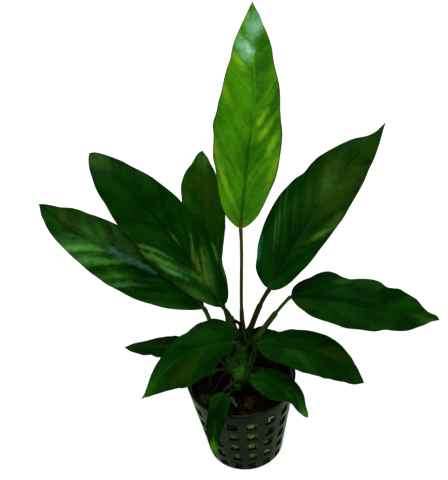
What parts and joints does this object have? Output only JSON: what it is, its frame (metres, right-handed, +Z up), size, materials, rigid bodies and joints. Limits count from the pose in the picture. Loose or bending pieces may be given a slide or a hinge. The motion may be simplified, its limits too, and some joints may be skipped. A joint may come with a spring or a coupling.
{
  "type": "potted anubias plant",
  "caption": "Aquarium anubias with long pointed leaves on slim stalks from a creeping stem, growing in rock wool in a slotted net pot.",
  "frame": {"origin": "centre of the underside of the pot, on the plane it stands on", "axes": "+Z up along the pot's axis, -Y towards the viewer of the picture, +X to the viewer's right"},
  "size_m": [0.1918, 0.113, 0.2223],
  "materials": {
    "pot_plastic": "satin",
    "rock_wool": "fibrous",
    "stem_green": "waxy",
    "dark_leaf": "glossy",
    "bright_leaf": "glossy",
    "stalk_green": "satin"
  },
  "bodies": {
    "root": {"net_pot": "pot_plastic", "rock_wool": "rock_wool", "rhizome": "stem_green", "leaf_tall": "bright_leaf", "petiole_tall": "stalk_green", "leaf_upper_right": "dark_leaf", "petiole_upper_right": "stalk_green", "leaf_right": "dark_leaf", "petiole_right": "stalk_green", "leaf_back_left": "dark_leaf", "petiole_back_left": "stalk_green", "leaf_upper_left": "dark_leaf", "petiole_upper_left": "stalk_green", "leaf_left": "dark_leaf", "petiole_left": "stalk_green", "leaf_low_left": "dark_leaf", "petiole_low_left": "stalk_green", "leaf_front_left": "dark_leaf", "petiole_front_left": "stalk_green", "leaf_front_right": "dark_leaf", "petiole_front_right": "stalk_green", "leaf_small_right": "dark_leaf", "petiole_small_right": "stalk_green", "leaf_small_front": "dark_leaf", "petiole_small_front": "stalk_green"}
  },
  "joints": []
}
